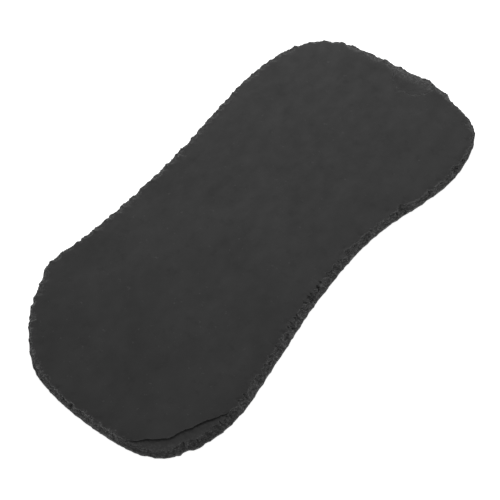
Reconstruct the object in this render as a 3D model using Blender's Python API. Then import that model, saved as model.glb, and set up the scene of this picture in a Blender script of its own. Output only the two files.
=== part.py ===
"""Slate serving board: a split slab of slate with a waisted outline, on four stick-on feet.

Metres, +Z up. +X is the long way, and -Y is the front, the side with the deeper waist. The origin
is on the surface that the feet stand on, under the middle of the board.
"""

import math
import random

import bmesh
import bpy
from mathutils import Vector

# Slab
BOARD_LENGTH = 0.300
BOARD_WIDTH = 0.141
SLAB_THICKNESS = 0.006
FRONT_WAIST_DEPTH = 0.0130
BACK_WAIST_DEPTH = 0.0062

# Dressed edge: a clean-cut land at the foot of the side, and flakes struck off above it
LAND_HEIGHT = 0.0011
BEVEL_WIDTH = 0.0022
SHOULDER_INSET = 0.0006
SIDE_CHIP_LENGTH = 0.0075
SIDE_CHIP_DEPTH = 0.0007
END_CHIP_LENGTH = 0.0135
END_CHIP_DEPTH = 0.0014
END_CHIP_REACH = 0.030
CHIP_VARIATION = 0.3
EDGE_POINTS = 420

# Layer split off at the front left corner
LEDGE_DEPTH = 0.0014
LEDGE_UNDERCUT = 0.0004

# Shell-shaped flake scar in the top face at the right end
SCAR_RADIUS = 0.0135
SCAR_DEPTH = 0.0008
SCAR_FROM_END = 0.0075
SCAR_FORWARD = 0.0125

# Self-adhesive feet
FOOT_DIAMETER = 0.0125
FOOT_HEIGHT = 0.0020
FOOT_ROUNDING = 0.0003
FOOT_FROM_END = 0.042
FOOT_FROM_SIDE = 0.032
FOOT_SIDES = 40

# Film of adhesive between a foot and the slab
ADHESIVE_FILM = 0.0003

# How far a cutter stands out past what it cuts
CUT_CLEARANCE = 0.004

SLAB_UNDERSIDE = FOOT_HEIGHT + ADHESIVE_FILM
SLAB_TOP = SLAB_UNDERSIDE + SLAB_THICKNESS
HALF_LENGTH = BOARD_LENGTH / 2
HALF_WIDTH = BOARD_WIDTH / 2


def clear_scene():
    for old in list(bpy.data.objects):
        bpy.data.objects.remove(old, do_unlink=True)


def material(name, colour, roughness):
    made = bpy.data.materials.new(name)
    made.use_nodes = True
    shader = made.node_tree.nodes["Principled BSDF"]
    shader.inputs["Base Color"].default_value = (*colour, 1.0)
    shader.inputs["Roughness"].default_value = roughness
    shader.inputs["Metallic"].default_value = 0.0
    made.diffuse_color = (*colour, 1.0)
    return made


def object_from(bm, name):
    mesh = bpy.data.meshes.new(name)
    bmesh.ops.recalc_face_normals(bm, faces=bm.faces)
    bm.to_mesh(mesh)
    bm.free()
    made = bpy.data.objects.new(name, mesh)
    bpy.context.scene.collection.objects.link(made)
    return made


def waist_knots(start_x, end_x, crest_y, dip, shape):
    """Knots of one waist: each is a share of the way between two crests, and of the dip."""
    return [(start_x + (end_x - start_x) * way, crest_y + dip * share) for way, share in shape]


def outline_knots():
    """Knots of the outline, anticlockwise from the middle of the right end.

    Those of the ends are distances in from the board's sides, so that the corners keep their
    rounding, and the two waists stretch between them, when the board gets longer or wider.
    """
    right, back = HALF_LENGTH, HALF_WIDTH
    left, front = -HALF_LENGTH, -HALF_WIDTH
    right_back_corner = [
        (right - 0.0020, 0.0),
        (right - 0.0038, 0.018),
        (right - 0.0060, back - 0.035),
        (right - 0.0135, back - 0.0200),
        (right - 0.0255, back - 0.0100),
        (right - 0.0420, back - 0.0040),
        (right - 0.0650, back - 0.0015),
    ]
    back_waist = waist_knots(
        right - 0.0650,
        left + 0.0600,
        back,
        -BACK_WAIST_DEPTH,
        ((0.17, 0.40), (0.35, 0.80), (0.55, 1.0), (0.74, 0.84), (0.90, 0.42)),
    )
    left_back_corner = [
        (left + 0.0600, back),
        (left + 0.0480, back - 0.0048),
        (left + 0.0315, back - 0.0130),
        (left + 0.0155, back - 0.0270),
        (left + 0.0055, back - 0.0410),
        (left + 0.0008, 0.008),
    ]
    left_front_corner = [
        (left, -0.020),
        (left + 0.0035, front + 0.0255),
        (left + 0.0115, front + 0.0130),
        (left + 0.0275, front + 0.0040),
        (left + 0.0510, front),
    ]
    front_waist = waist_knots(
        left + 0.0510,
        right - 0.0520,
        front,
        FRONT_WAIST_DEPTH,
        ((0.20, 0.38), (0.40, 0.82), (0.60, 1.0), (0.74, 0.82), (0.88, 0.30)),
    )
    right_front_corner = [
        (right - 0.0520, front + 0.0005),
        (right - 0.0300, front + 0.0032),
        (right - 0.0143, front + 0.0110),
        (right - 0.0050, front + 0.0320),
        (right, front + 0.0510),
    ]
    return (
        right_back_corner
        + back_waist
        + left_back_corner
        + left_front_corner
        + front_waist
        + right_front_corner
    )


def curve_point(knots, index, share):
    """A point between two knots of a closed curve that passes smoothly through all of them."""
    before, start, end, after = (Vector(knots[(index + k) % len(knots)]) for k in (-1, 0, 1, 2))
    span = (end - start).length
    leave = (end - before) * span / ((start - before).length + span)
    arrive = (after - start) * span / ((after - end).length + span)
    square, cube = share ** 2, share ** 3
    return (
        start * (2 * cube - 3 * square + 1)
        + leave * (cube - 2 * square + share)
        + end * (3 * square - 2 * cube)
        + arrive * (cube - square)
    )


def fitted_to_board(points):
    """Moves and stretches the line by the little that makes it exactly the board's size."""
    low = Vector((min(p.x for p in points), min(p.y for p in points)))
    high = Vector((max(p.x for p in points), max(p.y for p in points)))
    middle = (low + high) / 2
    size = high - low
    return [
        Vector(((p.x - middle.x) * BOARD_LENGTH / size.x, (p.y - middle.y) * BOARD_WIDTH / size.y))
        for p in points
    ]


def evenly_spaced(points, count):
    """The same closed line with its points the same distance apart, and its length."""
    closed = points + points[:1]
    travelled = [0.0]
    for start, end in zip(closed, closed[1:]):
        travelled.append(travelled[-1] + (end - start).length)
    spaced = []
    segment = 0
    for step in range(count):
        target = travelled[-1] * step / count
        while travelled[segment + 1] < target:
            segment += 1
        share = (target - travelled[segment]) / (travelled[segment + 1] - travelled[segment])
        spaced.append(closed[segment].lerp(closed[segment + 1], share))
    return spaced, travelled[-1]


def board_outline():
    knots = outline_knots()
    steps = 24
    fine = [curve_point(knots, k, s / steps) for k in range(len(knots)) for s in range(steps)]
    return evenly_spaced(fitted_to_board(fine), EDGE_POINTS)


def inward_normals(points):
    normals = []
    for index in range(len(points)):
        along = points[(index + 1) % len(points)] - points[index - 1]
        normals.append(Vector((-along.y, along.x)).normalized())
    return normals


def chip_depths(points, perimeter):
    """How much deeper than the plain bevel the flakes bite at each point of the edge.

    Each blow takes off one shell-shaped flake, deepest in its middle, so the edge stands out as a
    point between two flakes. The blows on the right end were heavier and further apart.
    """
    draw = random.Random(7)
    spacing = perimeter / EDGE_POINTS
    depths = []
    while len(depths) < EDGE_POINTS:
        at_right_end = points[len(depths)].x > HALF_LENGTH - END_CHIP_REACH
        length = END_CHIP_LENGTH if at_right_end else SIDE_CHIP_LENGTH
        depth = END_CHIP_DEPTH if at_right_end else SIDE_CHIP_DEPTH
        length *= draw.uniform(1 - CHIP_VARIATION, 1 + CHIP_VARIATION)
        depth *= draw.uniform(1 - CHIP_VARIATION, 1 + CHIP_VARIATION)
        steps = max(2, round(length / spacing))
        depths += [depth * math.sin(math.pi * step / steps) for step in range(steps)]
    return depths[:EDGE_POINTS]


def slab_rings():
    """The slab's section, as rings of the outline from the underside to the top face."""
    points, perimeter = board_outline()
    inward = inward_normals(points)
    chips = chip_depths(points, perimeter)
    land_top = SLAB_UNDERSIDE + LAND_HEIGHT
    shoulder = (land_top + SLAB_TOP) / 2
    section = (
        (SLAB_UNDERSIDE, 0.0, 0.0),
        (land_top, 0.0, 0.0),
        (shoulder, SHOULDER_INSET, 0.4),
        (SLAB_TOP, BEVEL_WIDTH, 1.0),
    )
    return [
        [(*(p + n * (inset + chip * bite)), height) for p, n, chip in zip(points, inward, chips)]
        for height, inset, bite in section
    ]


def lofted(rings):
    """A closed body through rings that have the same number of points."""
    bm = bmesh.new()
    loops = []
    for ring in rings:
        verts = [bm.verts.new(place) for place in ring]
        edges = [bm.edges.new((verts[k - 1], verts[k])) for k in range(len(verts))]
        loops.append((verts, edges))
    for (_, low), (_, high) in zip(loops, loops[1:]):
        bmesh.ops.bridge_loops(bm, edges=low + high)
    for verts, _ in (loops[0], loops[-1]):
        bm.faces.new(verts)
    return bm


def cut(body, cutter):
    cutter.hide_render = True
    cutter.display_type = "WIRE"
    boolean = body.modifiers.new(cutter.name, "BOOLEAN")
    boolean.operation = "DIFFERENCE"
    boolean.solver = "EXACT"
    boolean.object = cutter


def ledge_cutter():
    """The layer that has split off the front left corner, back to a ragged, undercut line."""
    left, front = -HALF_LENGTH, -HALF_WIDTH
    line = [
        (left + 0.0036, front + 0.0338),
        (left + 0.0116, front + 0.0261),
        (left + 0.0146, front + 0.0220),
        (left + 0.0173, front + 0.0190),
        (left + 0.0212, front + 0.0177),
        (left + 0.0276, front + 0.0148),
        (left + 0.0378, front + 0.0100),
        (left + 0.0452, front + 0.0059),
        (left + 0.0530, front + 0.0012),
    ]
    slant = LEDGE_UNDERCUT / math.sqrt(2)
    past_left = left - CUT_CLEARANCE
    past_front = front - CUT_CLEARANCE
    outside = [
        (line[-1][0] + CUT_CLEARANCE, past_front),
        (past_left, past_front),
        (past_left, line[0][1] + CUT_CLEARANCE),
    ]
    under = [(x + slant, y + slant) for x, y in line] + outside
    above = [(x - slant, y - slant) for x, y in line] + outside
    floor = SLAB_TOP - LEDGE_DEPTH
    ceiling = SLAB_TOP + CUT_CLEARANCE
    rings = [[(x, y, floor) for x, y in under], [(x, y, SLAB_TOP) for x, y in above],
             [(x, y, ceiling) for x, y in above]]
    return object_from(lofted(rings), "ledge_cutter")


def scar_cutter():
    """A shallow bowl that bites into the top face where a flake came off the right end."""
    steps = 6
    sides = 36
    bm = bmesh.new()
    profile = []
    for step in range(steps + 2):
        reach = SCAR_RADIUS * step / steps
        height = SCAR_DEPTH * ((step / steps) ** 2 - 1)
        profile.append(bm.verts.new((reach, 0, height)))
    profile.append(bm.verts.new((0, 0, height)))
    outline = [bm.edges.new(pair) for pair in zip(profile, profile[1:])]
    bmesh.ops.spin(bm, geom=profile + outline, axis=(0, 0, 1), cent=(0, 0, 0), steps=sides,
                   angle=2 * math.pi, use_merge=True)
    bmesh.ops.remove_doubles(bm, verts=bm.verts, dist=1e-6)
    place = (HALF_LENGTH - SCAR_FROM_END, -SCAR_FORWARD, SLAB_TOP)
    bmesh.ops.translate(bm, verts=bm.verts, vec=place)
    return object_from(bm, "scar_cutter")


def slate_slab(stone):
    slab = object_from(lofted(slab_rings()), "slate_slab")
    slab.data.materials.append(stone)
    cut(slab, ledge_cutter())
    cut(slab, scar_cutter())
    return slab


def foot(name, rubber, place):
    bm = bmesh.new()
    radius = FOOT_DIAMETER / 2
    bmesh.ops.create_cone(bm, cap_ends=True, segments=FOOT_SIDES, radius1=radius, radius2=radius,
                          depth=FOOT_HEIGHT)
    bmesh.ops.translate(bm, verts=bm.verts, vec=(0, 0, FOOT_HEIGHT / 2))
    rims = [e for e in bm.edges if abs(e.verts[0].co.z - e.verts[1].co.z) < FOOT_HEIGHT / 2]
    bmesh.ops.bevel(bm, geom=rims, offset=FOOT_ROUNDING, offset_type="OFFSET", affect="EDGES",
                    segments=2, profile=0.5, material=-1)
    made = object_from(bm, name)
    made.location = (*place, 0)
    made.data.materials.append(rubber)
    made.data.shade_smooth()
    made.data.set_sharp_from_angle(angle=math.radians(40))
    return made


def feet(rubber):
    across = HALF_LENGTH - FOOT_FROM_END
    deep = HALF_WIDTH - FOOT_FROM_SIDE
    for row, y in (("front", -deep), ("back", deep)):
        for side, x in (("left", -across), ("right", across)):
            foot(f"foot_{row}_{side}", rubber, (x, y))


clear_scene()
slate_slab(material("split_slate", (0.042, 0.042, 0.042), 0.7))
feet(material("foam_rubber", (0.015, 0.015, 0.015), 0.8))
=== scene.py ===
import math
import random

import bmesh
import bpy
import numpy as np
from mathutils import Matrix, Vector, noise
from mathutils.kdtree import KDTree


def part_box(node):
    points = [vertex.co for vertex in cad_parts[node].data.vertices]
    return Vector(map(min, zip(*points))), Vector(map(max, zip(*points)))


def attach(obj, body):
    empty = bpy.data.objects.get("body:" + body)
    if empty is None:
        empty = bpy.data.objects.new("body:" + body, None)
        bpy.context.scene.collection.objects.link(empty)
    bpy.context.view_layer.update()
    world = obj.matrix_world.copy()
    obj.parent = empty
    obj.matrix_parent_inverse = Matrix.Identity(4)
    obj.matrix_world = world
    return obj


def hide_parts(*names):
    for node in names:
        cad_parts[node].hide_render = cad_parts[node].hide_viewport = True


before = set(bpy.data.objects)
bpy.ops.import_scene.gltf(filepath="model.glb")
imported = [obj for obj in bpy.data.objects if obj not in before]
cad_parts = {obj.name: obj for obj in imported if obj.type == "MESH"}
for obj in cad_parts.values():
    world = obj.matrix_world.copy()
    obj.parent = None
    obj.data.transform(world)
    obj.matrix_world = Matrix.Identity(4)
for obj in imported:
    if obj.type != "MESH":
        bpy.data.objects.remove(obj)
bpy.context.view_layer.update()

# ---- Slab ----------------------------------------------------------------------------------------
# One sheet of natural slate, split from the block along its cleavage and left as it split. The
# outline is cut by nibbling: each stroke of the dresser cracks a shell-shaped flake off the top
# edge, which breaks back in steps from one cleavage layer to the next.

MM = 0.001
slab_low, slab_high = (Vector(corner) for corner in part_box("slate_slab"))
UNDERSIDE, TOP = slab_low.z, slab_high.z
THICKNESS = TOP - UNDERSIDE
LEFT, RIGHT = slab_low.x, slab_high.x
FRONT, BACK = slab_low.y, slab_high.y

# Points round the edge, about half a millimetre apart
EDGE_COLUMNS = 1560
# Height of the clean-cut land that the flakes leave at the foot of the edge, and depth of its nicks
LAND, NICK = 0.9 * MM, 0.55 * MM
LAYER_THIN, LAYER_THICK = 0.30 * MM, 0.60 * MM
# How unevenly the layers snap off, in coarse bits, in fine bits and in grit
COARSE_SNAP, FINE_SNAP, GRIT = 0.50 * MM, 0.36 * MM, 0.09 * MM
# The crests between the strokes stand out past the mean line of the edge by this much
CREST = 0.20 * MM
# The top face sinks a little towards the edge: how far, and from how far in
DROOP, DROOP_REACH = 0.20 * MM, 12 * MM
# Waves of the two cleft faces, from crest to hollow, and thickness of a layer that ends on a face
RELIEF, LAYER_STEP = 0.16 * MM, 0.05 * MM
# How far in from the edge the face is pitted, and the depth of its larger and smaller pits
PITS_REACH, LARGE_PIT, SMALL_PIT = 7 * MM, 0.75 * MM, 0.07 * MM

# How far the flakes run in from the outline, and how long they are, on each side of the board
FLAKE_REACH = {"front": 4.5 * MM, "back": 2.2 * MM, "left": 2.0 * MM, "right": 2.2 * MM}
FLAKE_LENGTH = {"front": 8.0 * MM, "back": 7.5 * MM, "left": 6.0 * MM, "right": 13.0 * MM}
# The front flakes reach less far between these two places along the board, down to this share
FRONT_TAPER_SPAN = (-10 * MM, 85 * MM)
FRONT_TAPER = 0.42
# How the bevel falls away: 0 is steep under the top face, 1 is a shallow slope off the top face
FLAKE_SLOPE = {"front": 0.0, "back": 0.8, "left": 0.5, "right": 0.6}
# Least inset of the top of the bevel, as a share of the reach
LEAST_BEVEL = {"front": 0.42, "back": 0.16, "left": 0.30, "right": 0.16}
# How far the outline itself is scalloped, from the cusps between the strokes inwards
SCALLOP = {"front": 0.50 * MM, "back": 0.90 * MM, "left": 0.30 * MM, "right": 1.60 * MM}
# Shallow spalls that lift off the top face beside the edge: how far in, how deep at the edge, how rough
SPALL_REACH = {"front": 0.6 * MM, "back": 4.6 * MM, "left": 1.9 * MM, "right": 7.0 * MM}
SPALL_DROP, SPALL_ROUGHNESS = 0.7 * MM, 0.16 * MM
# Three sizes of stroke: share of the flake length, least and greatest share of the reach, highest foot
STROKES = ((1.0, 0.55, 1.0, 0.05), (0.42, 0.45, 1.08, 0.45), (0.20, 0.40, 1.15, 0.80))

# Deeper chips, in mm: distance from the left end and from the front, half length, depth. They run
# down to this share of the height of the bevel.
DEEP_CHIP_FOOT = 0.15
DEEP_CHIPS = [(1.3, 70.8, 2.6, 2.5), (3.0, 63.0, 2.4, 2.4), (6.5, 91.0, 2.2, 2.3),
              (15.4, 110.0, 3.0, 2.6), (208.7, 6.5, 3.8, 4.6), (167.4, 13.5, 3.6, 4.6),
              (120.0, 12.0, 4.5, 4.2), (252.0, 3.0, 4.2, 4.0)]
# Places where the whole thickness has broken away, given in the same way
LOST_BITES = [(19.5, 8.0, 3.4, 1.3), (29.5, 3.6, 2.2, 0.7), (7.0, 22.0, 2.6, 0.6), (36.0, 1.6, 2.4, 0.5)]


def section_line(node, height):
    """The closed line where a level plane cuts a CAD node, anticlockwise from its right end."""
    bm = bmesh.new()
    bm.from_mesh(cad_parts[node].data)
    bmesh.ops.remove_doubles(bm, verts=bm.verts, dist=1e-6)
    bmesh.ops.bisect_plane(bm, geom=bm.verts[:] + bm.edges[:] + bm.faces[:], dist=1e-7,
                           plane_co=(0, 0, height), plane_no=(0, 0, 1),
                           clear_inner=True, clear_outer=True)
    bmesh.ops.remove_doubles(bm, verts=bm.verts, dist=1e-6)
    first = max(bm.verts, key=lambda v: v.co.x)
    walked = [first]
    onward = max((e.other_vert(first) for e in first.link_edges), key=lambda v: v.co.y)
    while onward is not first:
        walked.append(onward)
        onward = next(e.other_vert(onward) for e in onward.link_edges
                      if e.other_vert(onward) is not walked[-2])
    line = np.array([v.co.xy for v in walked])
    bm.free()
    return line


def evenly_spaced(line, count):
    """A closed line with its points the same distance apart, and the length of it."""
    closed = np.vstack([line, line[:1]])
    travelled = np.concatenate([[0], np.cumsum(np.linalg.norm(np.diff(closed, axis=0), axis=1))])
    at = np.arange(count) * travelled[-1] / count
    return np.column_stack([np.interp(at, travelled, closed[:, k]) for k in (0, 1)]), travelled[-1]


def rounded(line, passes):
    """A closed line with its corners worn down by averaging each point with its neighbours."""
    for _ in range(passes):
        line = (np.roll(line, 1, axis=0) + 2 * line + np.roll(line, -1, axis=0)) / 4
    return line


outline, perimeter = evenly_spaced(section_line("slate_slab", UNDERSIDE + LAND / 2), EDGE_COLUMNS)
outline = rounded(outline, passes=12)
along = np.roll(outline, -1, axis=0) - np.roll(outline, 1, axis=0)
along /= np.linalg.norm(along, axis=1)[:, None]
inward = np.column_stack([-along[:, 1], along[:, 0]])
EDGE_STEP = perimeter / EDGE_COLUMNS


def by_side(sizes):
    """A size at every column, blended round the corners from its values on the four sides."""
    ends = np.where(inward[:, 0] < 0, sizes["right"], sizes["left"])
    sides = np.where(inward[:, 1] > 0, sizes["front"], sizes["back"])
    return ends * inward[:, 0] ** 2 + sides * inward[:, 1] ** 2


# How much of the front side, and of the right end, each column belongs to
front_share = np.clip(inward[:, 1], 0, 1) ** 2
right_share = np.clip(-inward[:, 0], 0, 1) ** 1.2
reach = by_side(FLAKE_REACH)
reach *= 1 - front_share * (1 - np.interp(outline[:, 0], FRONT_TAPER_SPAN, (1.0, FRONT_TAPER)))


def share(value):
    """A value kept between 0 and 1."""
    return min(max(value, 0.0), 1.0)


def ragged(wavelength, seed):
    """Noise from -1 to 1 at every column, the same on both sides of the first column."""
    return np.array([noise.noise(Vector((x / wavelength, y / wavelength, seed))) for x, y in outline])


def nearest_column(from_left, from_front):
    spot = np.array([LEFT + from_left * MM, FRONT + from_front * MM])
    return int(np.argmin(np.linalg.norm(outline - spot, axis=1)))


def columns_from(middle):
    """Distance of every column from a column, going the shorter way round, with its sign."""
    return (np.arange(EDGE_COLUMNS) - middle + EDGE_COLUMNS / 2) % EDGE_COLUMNS - EDGE_COLUMNS / 2


def struck_flakes():
    """(middle column, half length, lean, depth, height of its foot) of every flake round the edge."""
    draw = random.Random(11)
    length = by_side(FLAKE_LENGTH)
    flakes = []
    for size, shallow, deep, highest_foot in STROKES:
        column = draw.uniform(0, 9)
        while column < EDGE_COLUMNS:
            here = int(column)
            long = length[here] * size * draw.uniform(0.5, 1.5)
            middle = (column + long / EDGE_STEP / 2) % EDGE_COLUMNS
            depth = reach[here] * draw.uniform(shallow, deep)
            # A flake is a little longer than its stroke, so that it runs into its neighbours
            flakes.append((middle, long * 0.6, draw.uniform(-0.6, 0.6), depth,
                           draw.uniform(0, highest_foot)))
            column += long / EDGE_STEP * draw.uniform(0.8, 1.25)
    for from_left, from_front, half_length, deep in DEEP_CHIPS:
        middle = nearest_column(from_left, from_front)
        flakes.append((middle, half_length * MM, draw.uniform(-0.4, 0.4), deep * MM, DEEP_CHIP_FOOT))
    return flakes


def bitten(flakes, level):
    """How far in the flakes have bitten at every column, at a level from 0 (land) to 1 (top)."""
    slope = by_side(FLAKE_SLOPE)
    depth = reach * by_side(LEAST_BEVEL) * max(level, 0)
    for middle, half_length, lean, deep, foot in flakes:
        if level <= foot:
            continue
        climb = (level - foot) / (1 - foot)
        # It widens like a shell as it climbs. A steep one is soon deep, a shallow one only at its top.
        run = half_length * (0.35 + 0.65 * climb ** 0.6) / EDGE_STEP
        away = columns_from(middle) / run
        bowl = np.sqrt(np.clip(1 - away ** 2, 0, None)) * (1 + lean * away)
        fall = (1 - slope) * (1 - (1 - climb) ** 3.2) + slope * climb ** 3
        depth = np.maximum(depth, deep * bowl * fall)
    return depth


def scallops(sizes, least, seed):
    """A size at every column that swells over each stroke and falls to nothing at the cusps."""
    draw = random.Random(seed)
    length, full = by_side(FLAKE_LENGTH), by_side(sizes)
    swell = np.zeros(EDGE_COLUMNS)
    column = 0.0
    while column < EDGE_COLUMNS:
        long = length[int(column)] * draw.uniform(0.55, 1.45)
        away = columns_from(column + long / EDGE_STEP / 2) * EDGE_STEP / (long / 2)
        lean = draw.uniform(-0.5, 0.5)
        bowl = np.clip(1 - away ** 2, 0, None) ** 0.8 * (1 + lean * np.clip(away, -1, 1))
        swell = np.maximum(swell, full * draw.uniform(least, 1.0) * bowl)
        column += long / EDGE_STEP
    return swell


def lost():
    """How much of the full thickness has gone at every column."""
    gone = scallops(SCALLOP, 0.45, 23)
    for from_left, from_front, half_length, deep in LOST_BITES:
        away = columns_from(nearest_column(from_left, from_front)) * EDGE_STEP / (half_length * MM)
        gone = np.maximum(gone, deep * MM * np.clip(1 - away ** 2, 0, None) ** 0.6)
    return gone


def cleavage_levels():
    """Heights above the underside where one layer gives way to the next, from the land up."""
    draw = random.Random(5)
    levels = [LAND]
    while levels[-1] < THICKNESS - LAYER_THICK:
        levels.append(levels[-1] + draw.uniform(LAYER_THIN, LAYER_THICK))
    levels[-1] = THICKNESS
    return levels


spall = scallops(SPALL_REACH, 0.15, 41)


def edge_rings():
    """Rings up the dressed edge, from the underside's rim to the top face's: insets and heights."""
    flakes = struck_flakes()
    grit = np.random.default_rng(3)
    levels = cleavage_levels()
    gone = lost()
    drop = SPALL_DROP * np.clip(spall / (2 * MM), 0, 1)
    # The land is nicked here and there, and wavers a little
    nick = NICK * np.clip(ragged(3.1 * MM, 2.0) - 0.15, 0, None)
    waver = 0.05 * MM * (ragged(1.3 * MM, 4.0) + 1)
    foot = nick + waver + 0.06 * MM * grit.random(EDGE_COLUMNS) + gone
    land = 0.7 * foot + 0.05 * MM * grit.random(EDGE_COLUMNS) + 0.3 * gone
    rings = [(foot, np.full(EDGE_COLUMNS, 0.0)), (land, np.full(EDGE_COLUMNS, LAND * 0.55))]
    # The layers bend a little along the edge, and step more sharply in some places than in others
    wander = 0.35 * (ragged(17 * MM, 9.0) + 0.6 * ragged(6 * MM, 12.0))
    stepping = np.clip(0.85 + 0.6 * ragged(12 * MM, 7.0), 0.3, 1.1)
    for k, (low, high) in enumerate(zip(levels, levels[1:])):
        middle = ((low + high) / 2 - LAND) / (THICKNESS - LAND)
        snapped = bitten(flakes, middle)
        snapped += COARSE_SNAP * ragged(3.1 * MM, 20.0 + k) + FINE_SNAP * ragged(1.25 * MM, 40.0 + k)
        # One ring just above the foot of the layer and one just below its top
        for height in (low + 0.02 * MM, high - 0.02 * MM):
            level = (height - LAND) / (THICKNESS - LAND)
            sloping = bitten(flakes, level)
            inset = sloping + (snapped - sloping) * stepping
            inset = inset + GRIT * grit.standard_normal(EDGE_COLUMNS)
            bend = LAYER_THIN * wander * min(level, 1 - level) * 2
            lift = 0.3 * GRIT * grit.standard_normal(EDGE_COLUMNS) * (level < 0.98)
            sunk = (drop + DROOP) * level ** 4
            rings.append((np.clip(inset, 0.04 * MM, None) + gone, height + bend + lift - sunk))
    return rings


def put(vertices, places):
    for vertex, place in zip(vertices, places):
        vertex.co = place


def close(bm):
    """Fills every opening and turns the faces outwards."""
    bmesh.ops.holes_fill(bm, edges=[e for e in bm.edges if e.is_boundary or e.is_wire], sides=0)
    bmesh.ops.recalc_face_normals(bm, faces=bm.faces)


def next_ring(bm, ring, places):
    """Extrudes a ring of vertices and puts the new one at these places."""
    edges = [bm.edges.get((ring[k - 1], ring[k])) for k in range(len(ring))]
    made = bmesh.ops.extrude_edge_only(bm, edges=edges)["geom"]
    fresh = {g for g in made if isinstance(g, bmesh.types.BMVert)}
    following = [next(e.other_vert(v) for e in v.link_edges if e.other_vert(v) in fresh)
                 for v in ring]
    put(following, places)
    return following


def coarser_ring(bm, ring, places):
    """Extrudes a ring and merges the new points in groups, so that the next one has fewer."""
    group = len(ring) // len(places)
    fresh = next_ring(bm, ring, [places[k // group] for k in range(len(ring))])
    kept = fresh[::group]
    targets = {v: kept[k // group] for k, v in enumerate(fresh) if k % group}
    bmesh.ops.weld_verts(bm, targetmap=targets)
    return kept


# The two cleft faces are almost flat, with long shallow waves that run with the grain, and here and
# there a layer a few hundredths of a millimetre thick that ends in a soft step.

def relief(x, y, seed):
    """Depth of a cleft face below its highest point."""
    grain = Vector((x / (29 * MM), y / (19 * MM), seed))
    fine = Vector((x / (9 * MM), y / (6 * MM), seed + 5))
    wave = 0.62 * noise.noise(grain) + 0.25 * noise.noise(grain * 2.3) + 0.13 * noise.noise(fine)
    layer_end = noise.noise(Vector((x / (48 * MM), y / (30 * MM), seed + 9)))
    return RELIEF * (0.5 + 0.5 * wave) + LAYER_STEP * share((layer_end - 0.1) * 14)


def rim_crumble(x, y, inset, spalled):
    """Depth of the droop, the small pits and the shallow spalls beside the dressed edge."""
    near = max(1 - inset / PITS_REACH, 0) ** 2
    droop = DROOP * max(1 - inset / DROOP_REACH, 0) ** 2
    spot = noise.noise(Vector((x / (3.2 * MM), y / (3.2 * MM), 80.0)))
    fine = noise.noise(Vector((x / (1.2 * MM), y / (1.2 * MM), 84.0)))
    worn = droop + near * (LARGE_PIT * max(spot - 0.12, 0) + SMALL_PIT * max(fine, 0))
    if inset >= spalled:
        return worn
    scoop = SPALL_DROP * min(spalled / (2 * MM), 1) * (1 - (inset / spalled) ** 1.4)
    return worn + scoop + SPALL_ROUGHNESS * fine * (1 - inset / spalled) ** 0.5


# The line that the rings of a cleft face close in on: how far it stays from each end, how far it lies
# behind the middle, and how much of the way to it the last ring goes
SPINE_FROM_END, SPINE_BEHIND, CLOSED_IN = 65 * MM, 2 * MM, 0.94


def face_rings(bm, ring, start, height, into, seed, spalls, insets, drawn_in, columns):
    """Carries one face of the slab in from its rim. into is -1 for the top, 1 for the underside."""
    settled = float(np.mean(start))
    for inset in insets:
        relaxed = min(inset / insets[-1], 1.0) ** 0.7
        flat = outline + inward * (start + (settled - start) * relaxed + inset)[:, None]
        ring = next_ring(bm, ring, [
            (x, y, height + into * (relief(x, y, seed) + rim_crumble(x, y, inset, spalled)))
            for (x, y), spalled in zip(flat, spalls)])
    # From here the rings have fewer points each
    thin = flat[::EDGE_COLUMNS // columns]
    spine = np.column_stack([np.clip(thin[:, 0], LEFT + SPINE_FROM_END, RIGHT - SPINE_FROM_END),
                             np.full(len(thin), SPINE_BEHIND)])
    for k, drawn in enumerate(np.linspace(0, CLOSED_IN, drawn_in + 1)[1:]):
        flat = thin + (spine - thin) * drawn
        places = [(x, y, height + into * relief(x, y, seed)) for x, y in flat]
        ring = coarser_ring(bm, ring, places) if k == 0 else next_ring(bm, ring, places)


def raw_slab():
    """The slab before anything is cut from it: the dressed edge, then the two faces."""
    bm = bmesh.new()
    ring = rim = bmesh.ops.create_circle(bm, segments=EDGE_COLUMNS, radius=1.0)["verts"]
    rings = edge_rings()
    for k, (inset, height) in enumerate(rings):
        flat = np.clip(outline + inward * (inset - CREST)[:, None], (LEFT, FRONT), (RIGHT, BACK))
        places = [(x, y, UNDERSIDE + z) for (x, y), z in zip(flat, height)]
        if k == 0:
            put(ring, places)
        else:
            ring = next_ring(bm, ring, places)
    top_insets = np.array([0.3, 0.7, 1.15, 1.65, 2.2, 2.9, 3.7, 4.7, 6.0, 7.5, 9.5, 12.0]) * MM
    face_rings(bm, ring, rings[-1][0], TOP, -1, 1.0, spall, top_insets, 18, EDGE_COLUMNS // 3)
    under_insets = np.array([0.5, 1.5, 3.5, 6.0]) * MM
    face_rings(bm, rim, rings[0][0], UNDERSIDE, 1, 31.0, 0 * spall, under_insets, 16, EDGE_COLUMNS // 4)
    close(bm)
    return bm


def finished_piece(bm, name):
    """Turns a bmesh into an object, which stands at the origin with its place in its mesh."""
    mesh = bpy.data.meshes.new(name)
    bm.to_mesh(mesh)
    bm.free()
    piece = bpy.data.objects.new(name, mesh)
    bpy.context.scene.collection.objects.link(piece)
    return piece


slab = finished_piece(raw_slab(), "cleft_slab")


# At the front left corner the top layer has split off along a ragged line and left a ledge, with a
# thin dark gap that runs on under the lip. At the right end a glancing blow has left a shallow scar.

# The ragged line of the ledge, in mm: distance from the left end and from the front
LEDGE_LINE = [(-2.0, 41.0), (3.6, 33.8), (11.6, 26.1), (14.6, 22.0), (17.3, 19.0), (21.2, 17.7),
              (27.6, 14.8), (37.8, 10.0), (45.2, 5.9), (54.0, 0.6), (58.0, -2.5)]
# Depth of the ledge at its ends and in its middle, its lip as a share of that, and the gap under it
LEDGE_SHALLOW, LEDGE_DEPTH = 0.35 * MM, 1.0 * MM
LIP_SHARE = 0.5
GAP_REACH = 1.3 * MM
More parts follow.
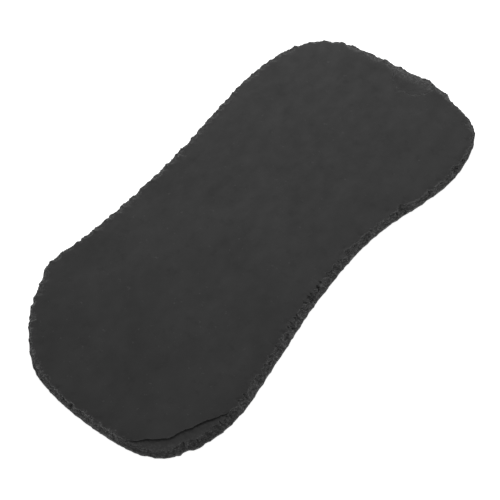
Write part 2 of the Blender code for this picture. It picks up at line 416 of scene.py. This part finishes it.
# Level directions: across the ledge's line towards the back right, and out over the corner
ACROSS_LEDGE, OUT_OF_CORNER = np.array([0.55, 0.83]), np.array([-0.60, -0.80])
# How far the cutters reach past the stone
CLEAR_OVER, CLEAR_OUT = 4 * MM, 40 * MM

SCAR_MIDDLE = Vector((LEFT + 294.3 * MM, FRONT + 59.9 * MM, 0))
SCAR_RADIUS, SCAR_DEPTH = 14.3 * MM, 1.10 * MM
SCAR_SIDES = 120


def ragged_path(knots, step):
    """The knots joined by a line of short steps that wanders as a split layer does."""
    points = np.array([(LEFT + a * MM, FRONT + b * MM) for a, b in knots])
    travelled = np.concatenate([[0], np.cumsum(np.linalg.norm(np.diff(points, axis=0), axis=1))])
    at = np.arange(0, travelled[-1], step)
    path = np.column_stack([np.interp(at, travelled, points[:, k]) for k in (0, 1)])
    for wavelength, swing in ((5.0 * MM, 0.75 * MM), (1.8 * MM, 0.35 * MM), (0.8 * MM, 0.14 * MM)):
        push = np.array([noise.noise(Vector((x / wavelength, y / wavelength, 60.0))) for x, y in path])
        path = path + swing * push[:, None] * ACROSS_LEDGE
    return path, at / travelled[-1]


def ledge_cutter():
    """A block that takes off the split layer: its inner wall follows the lip and runs in under it."""
    path, travelled = ragged_path(LEDGE_LINE, 0.4 * MM)
    taper = np.clip(np.minimum(travelled / 0.22, (1 - travelled) / 0.30), 0, 1) ** 0.8

    def row(distance, rise, rough):
        places = path + OUT_OF_CORNER * distance
        bumps = [noise.noise(Vector((x / (2.2 * MM), y / (2.2 * MM), 71.0))) for x, y in places]
        return [(x, y, TOP + z + rough * bump) for (x, y), z, bump in zip(places, rise, bumps)]

    over = np.full(len(path), CLEAR_OVER)
    ledge = -(LEDGE_SHALLOW + (LEDGE_DEPTH - LEDGE_SHALLOW) * taper)
    lip = ledge * LIP_SHARE
    rows = [row(-0.05 * MM, over, 0), row(0.0, lip, 0.05 * MM),
            row(-GAP_REACH * 0.8, lip * 1.35, 0.03 * MM), row(-GAP_REACH, ledge * 0.94, 0.02 * MM)]
    # The ledge itself is rough where the layer tore, and falls a little towards the outline
    for distance in (0.0, 0.7, 1.4, 2.2, 3.0, 4.0, 5.0, 6.2, 7.6, 9.2, 11.0, 14.0):
        rows.append(row(distance * MM, ledge - 0.035 * distance * MM, 0.22 * MM))
    rows += [row(CLEAR_OUT, ledge, 0), row(CLEAR_OUT, over, 0), row(-0.05 * MM, over, 0)]

    bm = bmesh.new()
    bmesh.ops.create_grid(bm, x_segments=len(path) - 1, y_segments=len(rows) - 1, size=1.0)
    row_by_row = sorted(bm.verts, key=lambda v: (round(v.co.y, 4), -v.co.x))
    put(row_by_row, [place for places in rows for place in places])
    bmesh.ops.remove_doubles(bm, verts=bm.verts, dist=1e-7)
    close(bm)
    return bm


def scar_cutter():
    """A shallow lens with a crisp ragged rim and faint ripples, as a shell-shaped break has."""

    def around(out, rise):
        places = []
        for k in range(SCAR_SIDES):
            turn = k * math.tau / SCAR_SIDES
            ray = Vector((math.cos(turn), math.sin(turn), 0))
            jag = 0.08 * noise.noise(ray * 1.7) + 0.06 * noise.noise(ray * 6) + 0.03 * noise.noise(ray * 17)
            spot = SCAR_MIDDLE + ray * SCAR_RADIUS * out * (1 + jag)
            ripple = 0.09 * MM * math.sin(out * 24) + 0.10 * MM * noise.noise(spot / (3.5 * MM))
            places.append((spot.x, spot.y, TOP + rise + (ripple if rise < 0 else 0)))
        return places

    bm = bmesh.new()
    ring = bmesh.ops.create_circle(bm, segments=SCAR_SIDES, radius=1.0)["verts"]
    put(ring, around(1.0, CLEAR_OVER))
    ring = next_ring(bm, ring, around(1.0, 0.25 * MM))
    for out in (0.965, 0.93, 0.87, 0.80, 0.72, 0.64, 0.56, 0.47, 0.38, 0.28, 0.16, 0.05):
        edge = min((1 - out) / 0.07, 1.0)
        dish = 0.55 * edge * edge * (3 - 2 * edge) + 0.45 * (1 - out ** 2)
        ring = next_ring(bm, ring, around(out, -SCAR_DEPTH * dish))
    close(bm)
    return bm


def cut_away(piece, cutter_bm):
    """Takes a block's shape out of a piece for good."""
    cutter = finished_piece(cutter_bm, "cutter")
    cut = piece.modifiers.new("cut", "BOOLEAN")
    cut.operation = "DIFFERENCE"
    cut.solver = "MANIFOLD"
    cut.object = cutter
    graph = bpy.context.evaluated_depsgraph_get()
    result = bpy.data.meshes.new_from_object(piece.evaluated_get(graph), depsgraph=graph)
    piece.modifiers.clear()
    spare = piece.data
    piece.data = result
    result.name = piece.name
    bpy.data.meshes.remove(spare)
    bpy.data.objects.remove(cutter)


def drop_crumbs(mesh):
    """Deletes the crumbs that a cut leaves beside the one big closed shell."""
    bm = bmesh.new()
    bm.from_mesh(mesh)
    unseen, shells = set(bm.verts), []
    while unseen:
        shell, edge_of_shell = set(), {unseen.pop()}
        while edge_of_shell:
            shell |= edge_of_shell
            edge_of_shell = {e.other_vert(v) for v in edge_of_shell for e in v.link_edges} - shell
        unseen -= shell
        shells.append(shell)
    shells.sort(key=len)
    bmesh.ops.delete(bm, geom=[v for shell in shells[:-1] for v in shell], context="VERTS")
    bm.to_mesh(mesh)
    bm.free()


cut_away(slab, ledge_cutter())
cut_away(slab, scar_cutter())
drop_crumbs(slab.data)

# A face that leans counts as broken across: the upward part of its normal where that starts and ends
LEAN_STARTS, LEAN_ENDS = 0.985, 0.735
# So does stone this far below the cleft faces, within this distance of the outline, fading out beyond
SUNK, BESIDE, FADE = 0.5 * MM, 4 * MM, 2.5 * MM
# Where the ledge line meets the left end and the front, for the weathered stone outside it
CORNER_FROM_FRONT, CORNER_FROM_LEFT = 41 * MM, 58 * MM


def mark_broken(mesh):
    """Gives every point 0 where the face is as it split and 1 where the stone is broken across, with
    painted shade under the front rim and a painted highlight at the right end.
    """
    edge_points = KDTree(EDGE_COLUMNS)
    for k, (x, y) in enumerate(outline):
        edge_points.insert((x, y, 0), k)
    edge_points.balance()
    bm = bmesh.new()
    bm.from_mesh(mesh)
    bm.normal_update()
    layer = bm.verts.layers.float.new("broken_and_painted_light")
    for vertex in bm.verts:
        x, y, z = vertex.co
        _, column, inset = edge_points.find((x, y, 0))
        upward = min((abs(f.normal.z) for f in vertex.link_faces), default=1.0)
        leaning = share((LEAN_STARTS - upward) / (LEAN_STARTS - LEAN_ENDS))
        # At the right end the spalls are shallower and run further in, and the broken stone there is
        # painted paler, a painted highlight where the key light falls
        right = right_share[column] * (1 - front_share[column])
        below = share((min(TOP - z, z - UNDERSIDE) - SUNK + 0.4 * MM * right) / SUNK)
        beside = share(1 - max(inset - BESIDE, 0) / (FADE + 4 * MM * right))
        marked = max(leaning * max(beside, 0.4), (0.35 + 0.35 * right) * below * beside)
        # The split corner has darkened with age, and just under the top face at the front the broken stone
        # is painted darker: painted shade below the rim
        corner = (x - LEFT) / CORNER_FROM_LEFT + (y - FRONT) / CORNER_FROM_FRONT
        aged = min(0.5 + share((corner - 0.85) / 0.4), 1.0)
        front_rim_shade = front_share[column] * share((z - TOP) / (1.8 * MM) + 1.2)
        vertex[layer] = aged * (1 - 0.5 * front_rim_shade) * marked
    bm.to_mesh(mesh)
    bm.free()


# Edges that turn by more than this stay crisp
CRISP_FROM = math.radians(24)
mark_broken(slab.data)
for polygon in slab.data.polygons:
    polygon.use_smooth = True
slab.data.set_sharp_from_angle(angle=CRISP_FROM)
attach(slab, "root")
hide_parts("slate_slab")


def linear(hex_colour):
    """sRGB hex to the linear RGBA that shaders take."""
    parts = [int(hex_colour[k:k + 2], 16) / 255 for k in (1, 3, 5)]
    return (*[c / 12.92 if c <= 0.04045 else ((c + 0.055) / 1.055) ** 2.4 for c in parts], 1.0)


def add(tree, kind, inputs=None, **settings):
    """Adds a node. Its inputs are given by name or number, each a value or the socket that feeds it."""
    made = tree.nodes.new(kind)
    for name, value in settings.items():
        setattr(made, name, value)
    for name, value in (inputs or {}).items():
        if isinstance(value, bpy.types.NodeSocket):
            tree.links.new(value, made.inputs[name])
        else:
            made.inputs[name].default_value = value
    return made


def new_material(name, roughness, specular, ior=1.5):
    """A material, its node tree and its shader, with the values that are the same all over it."""
    material = bpy.data.materials.new(name)
    material.use_nodes = True
    shader = material.node_tree.nodes["Principled BSDF"]
    shader.inputs["Roughness"].default_value = roughness
    shader.inputs["Specular IOR Level"].default_value = specular
    shader.inputs["IOR"].default_value = ior
    return material, material.node_tree, shader


# Riven slate: a fine-grained dark grey stone, left as it split. The cleft face is a matt, even charcoal
# with faint clouds along the grain and traces of pale stone dust. Broken across, it is paler and
# rough, with thin layers, chalky bruises where it was struck, painted paler still on upward-facing
# facets as a painted highlight, and dark pits of painted shade.
slate, tree, shader = new_material("riven_slate", 0.7, 0.22, 1.54)
at = add(tree, "ShaderNodeTexCoord").outputs["Object"]
broken_and_painted_light = add(tree, "ShaderNodeAttribute", attribute_name="broken_and_painted_light").outputs["Fac"]
along_grain = add(tree, "ShaderNodeMapping", {"Vector": at, "Scale": (0.7, 1.0, 1.0)}).outputs["Vector"]
height_only = add(tree, "ShaderNodeMapping", {"Vector": at, "Scale": (0.06, 0.06, 1.0)}).outputs["Vector"]
layered = add(tree, "ShaderNodeMapping", {"Vector": at, "Scale": (0.42, 0.42, 1.0)}).outputs["Vector"]
normal = add(tree, "ShaderNodeNewGeometry").outputs["Normal"]
facing_up = add(tree, "ShaderNodeSeparateXYZ", {0: normal}).outputs["Z"]
height = add(tree, "ShaderNodeSeparateXYZ", {0: at}).outputs["Z"]

# Each noise: its coordinates, the size of its largest grain, its detail, its seed. The strata are as
# thick as the layers of the edge. The stone's own grain is under 0.1 mm and its bruises and pits are
# 0.1 to 0.5 mm, too fine to show, so they are drawn at about 1 mm. The dark pits are painted shade,
# and the pale bruises are partly a painted highlight.
noises = {}
for name, where, size, detail, seed in (
        ("clouds", along_grain, 26 * MM, 4, 0), ("patches", at, 6 * MM, 3, 3), ("dust", at, 2.2 * MM, 2, 8),
        ("strata", height_only, 0.5 * MM, 3, 5), ("struck", at, 0.85 * MM, 4, 12),
        ("hollow", layered, 1.1 * MM, 4, 17), ("sheen", along_grain, 8 * MM, 4, 21),
        ("grain", at, 0.9 * MM, 4, 30), ("crumble", at, 1.1 * MM, 4, 33)):
    noises[name] = add(tree, "ShaderNodeTexNoise", {"Vector": where, "W": seed, "Scale": 1 / size,
                                                    "Detail": detail, "Roughness": 0.6},
                       noise_dimensions="4D").outputs["Fac"]

# Each share of a finish: what it is read from, the two values it runs between, what they become
shares = {}
for name, value, low, high, least, most in (
        ("clouds", noises["clouds"], 0.3, 0.7, 0, 1), ("patches", noises["patches"], 0.55, 0.72, 0, 0.5),
        ("dust", noises["dust"], 0.66, 0.76, 0, 0.22), ("strata", noises["strata"], 0.35, 0.65, 0, 1),
        # Painted highlight and shade by slope: upward-facing facets get more pale bruise, steep ones more
        # dark pit
        ("struck by slope", facing_up, 0.35, 0.90, -0.05, 0.045),
        ("struck at foot", height, UNDERSIDE + 0.2 * MM, UNDERSIDE + 1.1 * MM, 0.12, 0),
        ("hollow by slope", facing_up, 0.35, 0.90, 0.05, -0.04),
        ("hollow at foot", height, UNDERSIDE + 0.2 * MM, UNDERSIDE + 1.4 * MM, -0.05, 0),
        ("sheen", noises["sheen"], 0.3, 0.7, 0.60, 0.70)):
    shares[name] = add(tree, "ShaderNodeMapRange", {"Value": value, "From Min": low, "From Max": high,
                                                    "To Min": least, "To Max": most}).outputs["Result"]

# Painted highlight: pale bruises gather on upward-facing ledges, and the torn stone is paler towards
# the foot. Painted shade: dark pits gather in the steep parts above it
for name, low, high, most in (("struck", 0.52, 0.68, 1.0), ("hollow", 0.56, 0.67, 0.9)):
    pushed = noises[name]
    for push in (" by slope", " at foot"):
        sum_of_both = {0: pushed, 1: shares[name + push]}
        pushed = add(tree, "ShaderNodeMath", sum_of_both, operation="ADD").outputs[0]
    shares[name] = add(tree, "ShaderNodeMapRange", {"Value": pushed, "From Min": low,
                                                    "From Max": high, "To Max": most}).outputs["Result"]

# The cleft face and the torn edge are each laid up from their darkest stone
colours = {"face": linear("#2A2A2A"), "torn": linear("#3B3B3B")}
# The torn stone's pale bruises (#7E7E7E) are partly a painted highlight, and its dark pits (#131313) are
# painted shade
for stone, name, tint in (("face", "clouds", "#333333"), ("face", "patches", "#252525"),
                          ("face", "dust", "#5C5C5C"), ("torn", "strata", "#595959"),
                          ("torn", "struck", "#7E7E7E"), ("torn", "hollow", "#131313")):
    layer = {0: shares[name], 6: colours[stone], 7: linear(tint)}
    colours[stone] = add(tree, "ShaderNodeMix", layer, data_type="RGBA").outputs[2]
# The torn stone goes where a point is marked broken, a mark that also carries painted shade under the front
# rim and a painted highlight at the right end
both = add(tree, "ShaderNodeMix", {0: broken_and_painted_light, 6: colours["face"], 7: colours["torn"]}, data_type="RGBA")
tree.links.new(both.outputs[2], shader.inputs["Base Color"])
rough = add(tree, "ShaderNodeMix", {0: broken_and_painted_light, 2: shares["sheen"], 3: 0.85}).outputs[0]
tree.links.new(rough, shader.inputs["Roughness"])
grain = add(tree, "ShaderNodeBump", {"Height": noises["grain"], "Strength": 0.5, "Distance": 0.05 * MM})
crumble = add(tree, "ShaderNodeBump", {"Height": noises["crumble"], "Normal": grain.outputs["Normal"],
                                       "Strength": broken_and_painted_light, "Distance": 0.4 * MM})
tree.links.new(crumble.outputs["Normal"], shader.inputs["Normal"])
slab.data.materials.clear()
slab.data.materials.append(slate)


# ---- Feet ----------------------------------------------------------------------------------------
# Four discs punched from black closed-cell EVA foam sheet, stuck under the slab near its corners so
# that it stands clear of the table. A thin film of clear adhesive holds each one.

FOOT_NAMES = ("foot_front_left", "foot_front_right", "foot_back_left", "foot_back_right")
# The film is pressed a little into the foam and into the hollows of the stone
INTO_FOAM, INTO_STONE = 0.03 * MM, 0.25 * MM
# Its radius as a share of the foot's, at the foam, half way up and at the stone
FILM_SHARES = (0.96, 0.985, 0.97)
FILM_SIDES = 64

# Closed-cell EVA foam, punched: a dull soft black with a skin of tiny shallow cells. The cells are
# about 0.2 mm across, and drawn at 0.45 mm.
foam, tree, shader = new_material("black_eva_foam", 0.92, 0.3)
at = add(tree, "ShaderNodeTexCoord").outputs["Object"]
cells = add(tree, "ShaderNodeTexVoronoi", {"Vector": at, "Scale": 1 / (0.45 * MM)}).outputs["Distance"]
worn = add(tree, "ShaderNodeTexNoise", {"Vector": at, "Scale": 1 / (4 * MM), "Detail": 3}).outputs["Fac"]
tone = add(tree, "ShaderNodeMix", {0: worn, 6: linear("#121212"), 7: linear("#232323")}, data_type="RGBA")
tree.links.new(tone.outputs[2], shader.inputs["Base Color"])
skin = add(tree, "ShaderNodeBump", {"Height": cells, "Strength": 0.8, "Distance": 0.12 * MM})
tree.links.new(skin.outputs["Normal"], shader.inputs["Normal"])

# Acrylic transfer adhesive: a clear film gone slightly milky, glossy at its cut edge
film, tree, shader = new_material("clear_adhesive_film", 0.35, 0.5, 1.47)
at = add(tree, "ShaderNodeTexCoord").outputs["Object"]
milky = add(tree, "ShaderNodeTexNoise", {"Vector": at, "Scale": 1 / (1.5 * MM), "Detail": 2}).outputs["Fac"]
tone = add(tree, "ShaderNodeMix", {0: milky, 6: linear("#6E6E6A"), 7: linear("#8C8C86")}, data_type="RGBA")
tree.links.new(tone.outputs[2], shader.inputs["Base Color"])

for name in FOOT_NAMES:
    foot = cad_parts[name]
    foot.data.materials.clear()
    foot.data.materials.append(foam)
    low, high = (Vector(corner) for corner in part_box(name))
    middle = (low + high) / 2
    radius = (high.x - low.x) / 2
    film_low, film_high = high.z - INTO_FOAM, UNDERSIDE + INTO_STONE
    bm = bmesh.new()
    ring = bmesh.ops.create_circle(bm, segments=FILM_SIDES, radius=1.0)["verts"]
    for k, film_share in enumerate(FILM_SHARES):
        z = film_low + (film_high - film_low) * k / 2
        places = [(middle.x + radius * film_share * math.cos(t * math.tau / FILM_SIDES),
                   middle.y + radius * film_share * math.sin(t * math.tau / FILM_SIDES), z)
                  for t in range(FILM_SIDES)]
        if k == 0:
            put(ring, places)
        else:
            ring = next_ring(bm, ring, places)
    close(bm)
    disc = finished_piece(bm, name.replace("foot", "adhesive"))
    disc.data.materials.append(film)
    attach(disc, "root")


# ---- Stage ---------------------------------------------------------------------------------------
# A pale table that glows a little, a soft key light over the back right, a weaker soft light low at
# the front, and a pale surround.

# Half the width of the table top in metres, and how far it lies below the feet
TABLE_HALF, TABLE_GAP = 8.0, 0.02 * MM
floor_bm = bmesh.new()
bmesh.ops.create_grid(floor_bm, x_segments=1, y_segments=1, size=TABLE_HALF)
bmesh.ops.translate(floor_bm, verts=floor_bm.verts, vec=(0, 0, -TABLE_GAP))
floor = finished_piece(floor_bm, "floor")

# Lit opal acrylic sheet, the plain white table for small goods: it glows a little, so there is
# almost no shadow on it
opal, tree, shader = new_material("opal_acrylic_table", 1.0, 0.0)
shader.inputs["Base Color"].default_value = linear("#F2F2F2")
shader.inputs["Emission Color"].default_value = linear("#FFFFFF")
shader.inputs["Emission Strength"].default_value = 0.8
floor.data.materials.append(opal)

TARGET = Vector((-11.3 * MM, -8.3 * MM, 0))
AZIMUTH, ELEVATION = math.radians(-51.5), math.radians(55)
DISTANCE = 834 * MM
back_to_camera = Vector((math.sin(AZIMUTH) * math.cos(ELEVATION),
                         -math.cos(AZIMUTH) * math.cos(ELEVATION), math.sin(ELEVATION)))
camera_data = bpy.data.cameras.new("camera")
camera_data.lens = 108
camera_data.sensor_width = 36
camera_data.clip_start = 0.01
camera = bpy.data.objects.new("camera", camera_data)
camera.location = TARGET + back_to_camera * DISTANCE
camera.rotation_euler = back_to_camera.to_track_quat("Z", "Y").to_euler()
bpy.context.scene.collection.objects.link(camera)
bpy.context.scene.camera = camera


def softbox(name, place, width, watts):
    """A square soft light that faces the middle of the table. Its width is in metres."""
    data = bpy.data.lights.new(name, "AREA")
    data.shape = "SQUARE"
    data.size = width
    data.energy = watts
    lamp = bpy.data.objects.new(name, data)
    lamp.location = place
    lamp.rotation_euler = Vector(place).to_track_quat("Z", "Y").to_euler()
    bpy.context.scene.collection.objects.link(lamp)


softbox("key_softbox", (0.56, 0.47, 0.66), 0.7, 5.6)
softbox("fill_softbox", (-0.45, -1.65, 0.75), 1.2, 6.4)
world = bpy.data.worlds.new("surround")
world.use_nodes = True
world.node_tree.nodes["Background"].inputs["Color"].default_value = linear("#FFFFFF")
world.node_tree.nodes["Background"].inputs["Strength"].default_value = 0.308
bpy.context.scene.world = world
bpy.context.scene.view_settings.view_transform = "Standard"
